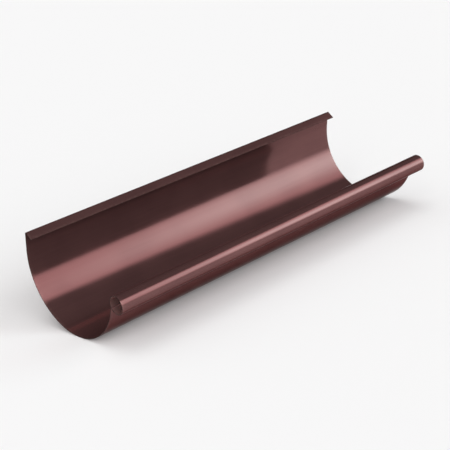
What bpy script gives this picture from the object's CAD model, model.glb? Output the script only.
import math

import bpy
from mathutils import Matrix, Vector


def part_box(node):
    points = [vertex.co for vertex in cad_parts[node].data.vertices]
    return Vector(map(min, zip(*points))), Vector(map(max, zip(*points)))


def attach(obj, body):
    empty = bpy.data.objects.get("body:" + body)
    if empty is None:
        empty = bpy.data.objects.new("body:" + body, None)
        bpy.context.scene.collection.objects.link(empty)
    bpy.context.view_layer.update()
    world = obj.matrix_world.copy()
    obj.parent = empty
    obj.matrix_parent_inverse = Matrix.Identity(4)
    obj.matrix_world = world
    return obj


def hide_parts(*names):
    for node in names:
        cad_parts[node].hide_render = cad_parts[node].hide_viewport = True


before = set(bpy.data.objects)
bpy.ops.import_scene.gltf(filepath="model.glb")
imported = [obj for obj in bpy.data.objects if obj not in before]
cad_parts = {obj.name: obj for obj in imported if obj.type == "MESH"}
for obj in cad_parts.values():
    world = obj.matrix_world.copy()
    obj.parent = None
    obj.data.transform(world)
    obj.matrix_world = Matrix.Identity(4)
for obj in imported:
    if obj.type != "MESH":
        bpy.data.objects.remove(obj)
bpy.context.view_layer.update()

MM = 0.001

# Section of the formed sheet, in millimetres about the trough's centre when it hangs level.
SHEET = 0.6
LENGTH = 422.0
TROUGH_R = 62.5
BACK_RISE = 18.9
LIP = 10.0
LIP_SLOPE = 30.0
FOLD_R = 0.5
BEAD_R = 8.9
BEAD_INSET = 2.3
BEAD_DROP = 0.5
NECK_R = 2.2
EDGE_GAP = 0.4
TIP = 12.469                # degrees the section lies tipped towards its bead
CUT_ROUND = 0.12            # the shear's rounding of every cut edge

# Colours, as linear light. The coat is part metallic, so its colour tints what it mirrors.
COAT_DARK = (0.15, 0.0715, 0.07, 1.0)
COAT_LIGHT = (0.166, 0.079, 0.077, 1.0)
COAT_STREAK = (0.183, 0.089, 0.086, 1.0)
COAT_RUBBED = (0.24, 0.14, 0.13, 1.0)
COAT_INSIDE = (0.42, 0.235, 0.22, 1.0)
CUT_DARK = (0.03, 0.016, 0.015, 1.0)
CUT_BARE = (0.055, 0.038, 0.036, 1.0)
FLOOR = (0.88, 0.88, 0.88, 1.0)
COAT_TINT = (0.35, 0.31, 0.31, 1.0)

# How fine each noise is, as its scale over metres.
CLOUDS = 22.0
STREAKS = 420.0
STREAK_STRETCH = (0.02, 1.0, 1.0)
PEEL = 900.0
CHIPS = 520.0
GRAIN = 1500.0
DRAG = 160.0
EVEN = (1.0, 1.0, 1.0)

# The coat's and the cut steel's finish. Depths are in metres.
COAT_METALLIC = 0.73
COAT_ROUGHNESS = (0.115, 0.145)
RUBBED_ROUGHNESS = 0.12
STREAK_ROUGHNESS = 0.02
STREAK_DEPTH = 0.00001
PEEL_DEPTH = 0.000012
CUT_METALLIC = 0.2
CUT_ROUGHNESS = (0.42, 0.6)
GRAIN_DEPTH = 0.00002

# The studio. A patch of sky is bounded by (outer, inner, inner, outer) degrees each way; bearings
# run from +Y towards +X, and the soft box's from the opposite side, clear of the 180 degree seam.
FLOOR_RADIUS = 30.0
ROOM_DIM = (0.09, 0.09, 0.09, 1.0)
ROOM_FILL = (0.55, 0.54, 0.54, 1.0)
OVERHEAD = (1.6, 1.57, 1.57, 1.0)
SOFTBOX = (3.1, 3.06, 3.06, 1.0)
WINDOW = (2.25, 1.9, 1.95, 1.0)
WINDOW_CORE = (4.0, 5.4, 5.4, 1.0)
FILL_EDGE = (0.22, 0.42)    # the sky direction's x over which the fill gives way to the dim side
OVERHEAD_UP = (63.0, 72.0)
SOFTBOX_ACROSS = (-15.0, 5.0, 60.0, 85.0)
SOFTBOX_UP = (2.0, 14.0, 42.0, 58.0)
WINDOW_ACROSS = (103.0, 113.0, 158.0, 172.0)
WINDOW_UP = (-4.0, 8.0, 39.5, 46.0)
CORE_ACROSS = (104.0, 124.0, 132.0, 152.0)
CORE_UP = (-4.0, 14.0, 18.0, 44.0)

EDGE = "from_edge"          # point attribute: metres along the sheet to its nearest cut edge
ROLLED = "rolled_in"        # point attribute: 1 on the face that the bead's roll shuts in
RUB_WIDTH = 0.004

STEP = 2.5                  # longest side of a mesh face round the section
RINGS = 84                  # mesh faces along the length
ARC_STEP = 3.0              # most degrees of an arc that one mesh face turns through
CUT_POINTS = 4              # outline points across each long cut edge, lip's first and bead's second

HALF = SHEET / 2.0
CENTRE = (0.0, 0.0)
BEAD = (-(TROUGH_R + BEAD_R - BEAD_INSET), -BEAD_DROP)
TROUGH_MID = TROUGH_R - HALF
BEAD_MID = BEAD_R - HALF
FOLD_MID = FOLD_R + HALF
NECK_MID = NECK_R + HALF

# The view: degrees round from the front, up, and rolled about the line of sight; metres otherwise.
LENS = 91.6
AIM = (-0.0145, 0.0100, 0.0414)
DISTANCE = 1.1593
AZIMUTH = -40.654
ELEVATION = 19.476
ROLL = -8.404


def on(centre, radius, degrees):
    """Point at an angle on a circle, as (y, z)."""
    a = math.radians(degrees)
    return (centre[0] + radius * math.cos(a), centre[1] + radius * math.sin(a))


def bearing(start, end):
    """Direction from one point to another, in degrees."""
    return math.degrees(math.atan2(end[1] - start[1], end[0] - start[0]))


def angle_between(near, side, far):
    """Angle in degrees between two sides of a triangle, facing the third."""
    return math.degrees(math.acos((near ** 2 + side ** 2 - far ** 2) / (2.0 * near * side)))


def neck_centre():
    """Centre of the bend that leaves the trough's arc and meets the bead's, tangent to both."""
    reach = math.dist(CENTRE, BEAD)
    from_trough = TROUGH_MID - NECK_MID
    below = angle_between(reach, from_trough, BEAD_MID + NECK_MID)
    return on(CENTRE, from_trough, bearing(CENTRE, BEAD) + below)


def bead_edge():
    """Angle on the bead at which its free edge stops short of the front wall."""
    reach = math.dist(CENTRE, BEAD)
    below = angle_between(reach, BEAD_MID, TROUGH_R + EDGE_GAP + HALF)
    return 360.0 + bearing(BEAD, CENTRE) - below


def section_runs():
    """The sheet's middle line: (start, end) for a straight run, else (centre, radius, from, to)."""
    turn = 90.0 + LIP_SLOPE
    setback = FOLD_MID * math.tan(math.radians(turn / 2.0))
    fold = (TROUGH_MID - FOLD_MID, BACK_RISE - HALF - setback)
    lip_root = on(fold, FOLD_MID, turn)
    lip_edge = on(lip_root, LIP - setback, 180.0 + LIP_SLOPE)
    neck = neck_centre()
    wall_top = bearing(CENTRE, neck)
    bead_root = bearing(BEAD, neck)
    return [
        (lip_edge, lip_root),
        (fold, FOLD_MID, turn, 0.0),
        ((TROUGH_MID, fold[1]), (TROUGH_MID, 0.0)),
        (CENTRE, TROUGH_MID, 0.0, wall_top),
        (neck, NECK_MID, wall_top, bead_root - 180.0),
        (BEAD, BEAD_MID, bead_root, bead_edge()),
    ]


def middle_line():
    """Points along the sheet's middle with the direction square to it, to the left of the run."""
    line = []
    for run in section_runs():
        if len(run) == 2:
            start, end = run
            square = math.radians(bearing(start, end) + 90.0)
            left = (math.cos(square), math.sin(square))
            count = max(2, math.ceil(math.dist(start, end) / STEP))
            points = [(start[0] + (end[0] - start[0]) * i / count,
                       start[1] + (end[1] - start[1]) * i / count) for i in range(count + 1)]
            pairs = [(p, left) for p in points]
        else:
            centre, radius, first, last = run
            count = max(6, math.ceil(abs(last - first) / ARC_STEP),
                        math.ceil(math.radians(abs(last - first)) * radius / STEP))
            side = -1.0 if last > first else 1.0
            pairs = []
            for i in range(count + 1):
                a = first + (last - first) * i / count
                pairs.append((on(centre, radius, a), on(CENTRE, side, a)))
        line += pairs if not line else pairs[1:]
    return line


def loop_at(line, inset):
    """The section's closed outline, drawn in from the sheet's faces and edges by inset."""
    half = HALF - inset
    first, last = line[0], line[-1]

    def moved(pair, offset, along=0.0):
        (y, z), (ny, nz) = pair
        return (y + ny * offset + nz * along, z + nz * offset - ny * along)

    left = [moved(p, half) for p in line[1:-1]]
    right = [moved(p, -half) for p in line[-2:0:-1]]
    start_cut = [moved(first, -half, CUT_ROUND), moved(first, CUT_ROUND - half, inset),
                 moved(first, half - CUT_ROUND, inset), moved(first, half, CUT_ROUND)]
    end_cut = [moved(last, half, -CUT_ROUND), moved(last, half - CUT_ROUND, -inset),
               moved(last, CUT_ROUND - half, -inset), moved(last, -half, -CUT_ROUND)]
    return start_cut + left + end_cut + right


def end_to_end():
    """Where the outlines stand along X: the two cut faces, and the rings between their roundings."""
    end = LENGTH / 2.0
    inner = end - CUT_ROUND
    return [-end] + [-inner + 2.0 * inner * i / RINGS for i in range(RINGS + 1)] + [end]


def laid(x, points, shift_y):
    """An outline tipped into the CAD node's attitude, at x, in metres."""
    c, s = math.cos(math.radians(TIP)), math.sin(math.radians(TIP))
    return [(x * MM, (y * c - z * s + shift_y) * MM, (y * s + z * c + TROUGH_R) * MM)
            for y, z in points]


def shift_to_node(points):
    """How far along Y the tipped outline goes to stand in the CAD node's box, in millimetres."""
    low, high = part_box("gutter")
    tipped = [y / MM for _, y, _ in laid(0.0, points, 0.0)]
    return (low.y + high.y) / 2.0 / MM - (min(tipped) + max(tipped)) / 2.0


def skin_faces(rings, n):
    """Faces between the rings, each with whether it is cut steel."""
    for r in range(rings - 1):
        for i in range(n):
            j = (i + 1) % n
            at_edge = i < CUT_POINTS - 1 or n // 2 <= i < n // 2 + CUT_POINTS - 1
            face = (r * n + i, r * n + j, (r + 1) * n + j, (r + 1) * n + i)
            yield face, at_edge or r in (0, rings - 2)


def end_faces(rings, n):
    """Faces of both cut ends, each facing outwards."""
    for face in cap_faces(n):
        yield tuple(reversed(face))
        yield tuple((rings - 1) * n + i for i in face)


def gutter_mesh():
    """The formed sheet as one closed mesh, laid in the attitude of the CAD node."""
    line = middle_line()
    full, shrunk = loop_at(line, 0.0), loop_at(line, CUT_ROUND)
    shift_y = shift_to_node(full)
    stations = end_to_end()
    at_end = (stations[0], stations[-1])
    vertices = []
    for x in stations:
        vertices += laid(x, shrunk if x in at_end else full, shift_y)
    skin = list(skin_faces(len(stations), len(full)))
    ends = list(end_faces(len(stations), len(full)))
    mesh = bpy.data.meshes.new("gutter_sheet")
    mesh.from_pydata(vertices, [], [face for face, _ in skin] + ends)
    mesh.materials.append(coated_steel())
    mesh.materials.append(cut_steel())
    cut = [is_cut for _, is_cut in skin] + [True] * len(ends)
    mesh.polygons.foreach_set("material_index", [int(is_cut) for is_cut in cut])
    mesh.polygons.foreach_set("use_smooth", [True] * len(cut))
    mesh.set_sharp_from_angle(angle=math.radians(40.0))
    across = distances_across(full)
    paint_points(mesh, EDGE, [min(distance, LENGTH / 2.0 - abs(x)) * MM
                              for x in stations for distance in across])
    inside = [float(math.dist(point, BEAD) < BEAD_MID) for point in full]
    paint_points(mesh, ROLLED, inside * len(stations))
    mesh.validate()
    mesh.update()
    return mesh


def paint_points(mesh, name, values):
    """Keep one number for each of the mesh's points, for its materials to read."""
    mesh.attributes.new(name, "FLOAT", "POINT").data.foreach_set("value", values)


def distances_across(loop):
    """For each point of the outline, how far along the sheet its nearer long edge is."""
    n = len(loop)
    run = [0.0]
    for i in range(1, n + 1):
        run.append(run[-1] + math.dist(loop[i - 1], loop[i % n]))
    last = CUT_POINTS - 1
    corners = [run[j] for j in (0, last, n // 2, n // 2 + last, n)]
    return [min(abs(run[i] - corner) for corner in corners) for i in range(n)]


def cap_faces(n):
    """Faces of one cut end: a strip across the sheet's thickness from the lip's edge to the bead's."""
    m = n // 2 - CUT_POINTS
    left = [CUT_POINTS + i for i in range(m)]
    right = [2 * CUT_POINTS + m + i for i in range(m)]
    lip_cut = tuple(range(CUT_POINTS))
    bead_cut = tuple(n // 2 + i for i in range(CUT_POINTS))
    faces = [lip_cut + (left[0], right[-1])]
    for i in range(m - 1):
        faces.append((left[i], left[i + 1], right[m - 2 - i], right[m - 1 - i]))
    faces.append((left[-1],) + bead_cut + (right[0],))
    return faces


def new_material(name):
    """A material with its Principled shader, ready for nodes of its own."""
    material = bpy.data.materials.new(name)
    material.use_nodes = True
    tree = material.node_tree
    return material, tree, tree.nodes["Principled BSDF"]


def math_node(tree, operation, a, b=None):
    """The result of one sum on numbers or sockets."""
    node = tree.nodes.new("ShaderNodeMath")
    node.operation = operation
    for socket, value in zip(node.inputs, (a, b)):
        if isinstance(value, (int, float)):
            socket.default_value = value
        elif value is not None:
            tree.links.new(value, socket)
    return node.outputs[0]


def rise(tree, value, low, high, start=0.0, end=1.0):
    """start up to low, end from high on, and a smooth slope between them."""
    node = tree.nodes.new("ShaderNodeMapRange")
    node.interpolation_type = "SMOOTHSTEP"
    tree.links.new(value, node.inputs["Value"])
    for name, number in (("From Min", low), ("From Max", high), ("To Min", start), ("To Max", end)):
        node.inputs[name].default_value = number
    return node.outputs["Result"]


def mix_colour(tree, factor, a, b):
    """Colour a where the factor is 0 and b where it is 1."""
    node = tree.nodes.new("ShaderNodeMix")
    node.data_type = "RGBA"
    tree.links.new(factor, node.inputs["Factor"])
    colours = [s for s in node.inputs if s.type == "RGBA"]
    for socket, value in zip(colours, (a, b)):
        if isinstance(value, tuple):
            socket.default_value = value
        else:
            tree.links.new(value, socket)
    return next(s for s in node.outputs if s.type == "RGBA")


def noise(tree, stretch, scale, detail=3.0, roughness=0.5):
    """Noise over the piece's own coordinates, in metres, drawn out along an axis by stretch."""
    coordinates = tree.nodes.new("ShaderNodeTexCoord")
    mapping = tree.nodes.new("ShaderNodeMapping")
    mapping.inputs["Scale"].default_value = stretch
    texture = tree.nodes.new("ShaderNodeTexNoise")
    texture.inputs["Scale"].default_value = scale
    texture.inputs["Detail"].default_value = detail
    texture.inputs["Roughness"].default_value = roughness
    tree.links.new(coordinates.outputs["Object"], mapping.inputs["Vector"])
    tree.links.new(mapping.outputs["Vector"], texture.inputs["Vector"])
    return texture.outputs["Fac"]


def bump(tree, height, distance, strength, under=None):
    """Fine relief in the shading alone, laid over another where one is given."""
    node = tree.nodes.new("ShaderNodeBump")
    node.inputs["Distance"].default_value = distance
    node.inputs["Strength"].default_value = strength
    tree.links.new(height, node.inputs["Height"])
    if under is not None:
        tree.links.new(under, node.inputs["Normal"])
    return node.outputs["Normal"]


def painted(tree, name):
    """The value painted on the mesh's points under this name."""
    node = tree.nodes.new("ShaderNodeAttribute")
    node.attribute_name = name
    return node.outputs["Fac"]


def coated_steel():
    """Semi-gloss brown coil coating: flow lines from the rolls, orange peel and handled edges."""
    material, tree, shader = new_material("coated_steel")
    clouds = noise(tree, EVEN, CLOUDS)
    streaks = noise(tree, STREAK_STRETCH, STREAKS, 2.0)
    peel = noise(tree, EVEN, PEEL, 2.0)
    chips = noise(tree, EVEN, CHIPS, 4.0, 0.7)

    coat = mix_colour(tree, rise(tree, clouds, 0.35, 0.65), COAT_DARK, COAT_LIGHT)
    coat = mix_colour(tree, rise(tree, streaks, 0.4, 0.75, 0.0, 0.35), coat, COAT_STREAK)
    handled = rise(tree, painted(tree, EDGE), 0.0, RUB_WIDTH, 1.0, 0.0)
    rubbed = math_node(tree, "MULTIPLY", handled, rise(tree, chips, 0.42, 0.62))
    colour = mix_colour(tree, math_node(tree, "MULTIPLY", rubbed, 0.5), coat, COAT_RUBBED)
    colour = mix_colour(tree, painted(tree, ROLLED), colour, COAT_INSIDE)
    tree.links.new(colour, shader.inputs["Base Color"])

    gloss = rise(tree, clouds, 0.3, 0.7, *COAT_ROUGHNESS)
    gloss = math_node(tree, "ADD", gloss, math_node(tree, "MULTIPLY", rubbed, RUBBED_ROUGHNESS))
    gloss = math_node(tree, "ADD", gloss, rise(tree, streaks, 0.45, 0.8, 0.0, STREAK_ROUGHNESS))
    tree.links.new(gloss, shader.inputs["Roughness"])

    rolled = bump(tree, streaks, STREAK_DEPTH, 0.25)
    tree.links.new(bump(tree, peel, PEEL_DEPTH, 0.3, rolled), shader.inputs["Normal"])
    shader.inputs["Metallic"].default_value = COAT_METALLIC
    shader.inputs["Specular IOR Level"].default_value = 0.0
    shader.inputs["Specular Tint"].default_value = COAT_TINT
    return material


def cut_steel():
    """Sheared edge: dull zinc-coated steel with the coating dragged over it."""
    material, tree, shader = new_material("cut_steel")
    grain = noise(tree, EVEN, GRAIN, 3.0)
    drag = noise(tree, EVEN, DRAG, 3.0)
    colour = mix_colour(tree, rise(tree, drag, 0.35, 0.65), CUT_DARK, CUT_BARE)
    tree.links.new(colour, shader.inputs["Base Color"])
    tree.links.new(rise(tree, grain, 0.3, 0.7, *CUT_ROUGHNESS), shader.inputs["Roughness"])
    tree.links.new(bump(tree, grain, GRAIN_DEPTH, 0.5), shader.inputs["Normal"])
    shader.inputs["Metallic"].default_value = CUT_METALLIC
    shader.inputs["Specular IOR Level"].default_value = 0.0
    return material


def build_gutter():
    """The visible gutter, in place of the CAD node's plain mesh."""
    piece = bpy.data.objects.new("gutter_sheet", gutter_mesh())
    bpy.context.scene.collection.objects.link(piece)
    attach(piece, "root")
    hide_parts("gutter")


def sky_bearing(tree, x, y):
    """Degrees round the sky from +Y towards +X."""
    return math_node(tree, "MULTIPLY", math_node(tree, "ARCTAN2", x, y), math.degrees(1.0))


def sky_patch(tree, bearing_round, elevation, across, upright):
    """1 inside a soft-edged patch of the sky and 0 outside it."""
    left, inner_left, inner_right, right = across
    low, inner_low, inner_high, high = upright
    sideways = math_node(tree, "MULTIPLY", rise(tree, bearing_round, left, inner_left),
                         rise(tree, bearing_round, inner_right, right, 1.0, 0.0))
    upwards = math_node(tree, "MULTIPLY", rise(tree, elevation, low, inner_low),
                        rise(tree, elevation, inner_high, high, 1.0, 0.0))
    return math_node(tree, "MULTIPLY", sideways, upwards)


def studio_world():
    """A soft pale studio: fill from the left, a panel overhead, a soft box behind the camera, and
    at its right a tall window with a brighter core."""
    world = bpy.data.worlds.new("studio")
    bpy.context.scene.world = world
    world.use_nodes = True
    tree = world.node_tree
    coordinates = tree.nodes.new("ShaderNodeTexCoord")
    split = tree.nodes.new("ShaderNodeSeparateXYZ")
    tree.links.new(coordinates.outputs["Generated"], split.inputs[0])
    x, y, z = split.outputs
    ahead = sky_bearing(tree, x, y)
    opposite = sky_bearing(tree, *(math_node(tree, "MULTIPLY", part, -1.0) for part in (x, y)))
    elevation = math_node(tree, "MULTIPLY", math_node(tree, "ARCSINE", z), math.degrees(1.0))

    light = mix_colour(tree, rise(tree, x, *FILL_EDGE, 1.0, 0.0), ROOM_DIM, ROOM_FILL)
    light = mix_colour(tree, rise(tree, elevation, *OVERHEAD_UP), light, OVERHEAD)
    softbox = sky_patch(tree, opposite, elevation, SOFTBOX_ACROSS, SOFTBOX_UP)
    light = mix_colour(tree, softbox, light, SOFTBOX)
    window = sky_patch(tree, ahead, elevation, WINDOW_ACROSS, WINDOW_UP)
    light = mix_colour(tree, window, light, WINDOW)
    core = sky_patch(tree, ahead, elevation, CORE_ACROSS, CORE_UP)
    light = mix_colour(tree, core, light, WINDOW_CORE)
    tree.links.new(light, tree.nodes["Background"].inputs["Color"])


def floor():
    """A plain pale floor, matt and large enough to fill the view."""
    bpy.ops.mesh.primitive_circle_add(vertices=96, radius=FLOOR_RADIUS, fill_type="NGON")
    ground = bpy.context.object
    ground.name = "floor"
    material, tree, shader = new_material("floor_white")
    shader.inputs["Base Color"].default_value = FLOOR
    shader.inputs["Roughness"].default_value = 1.0
    shader.inputs["Specular IOR Level"].default_value = 0.0
    ground.data.materials.append(material)


def camera():
    """The photo's view: from the front left, a little above, rolled so the gutter climbs to the right."""
    data = bpy.data.cameras.new("camera")
    data.lens = LENS
    data.sensor_width = 36.0
    data.clip_start, data.clip_end = 0.05, 100.0
    eye = bpy.data.objects.new("camera", data)
    bpy.context.scene.collection.objects.link(eye)
    a, e = math.radians(AZIMUTH), math.radians(ELEVATION)
    back = Vector((math.sin(a) * math.cos(e), -math.cos(a) * math.cos(e), math.sin(e)))
    turn = (-back).to_track_quat("-Z", "Y").to_matrix() @ Matrix.Rotation(math.radians(ROLL), 3, "Z")
    eye.matrix_world = Matrix.Translation(Vector(AIM) + back * DISTANCE) @ turn.to_4x4()
    bpy.context.scene.camera = eye


build_gutter()
floor()
studio_world()
camera()
bpy.context.scene.view_settings.view_transform = "Standard"
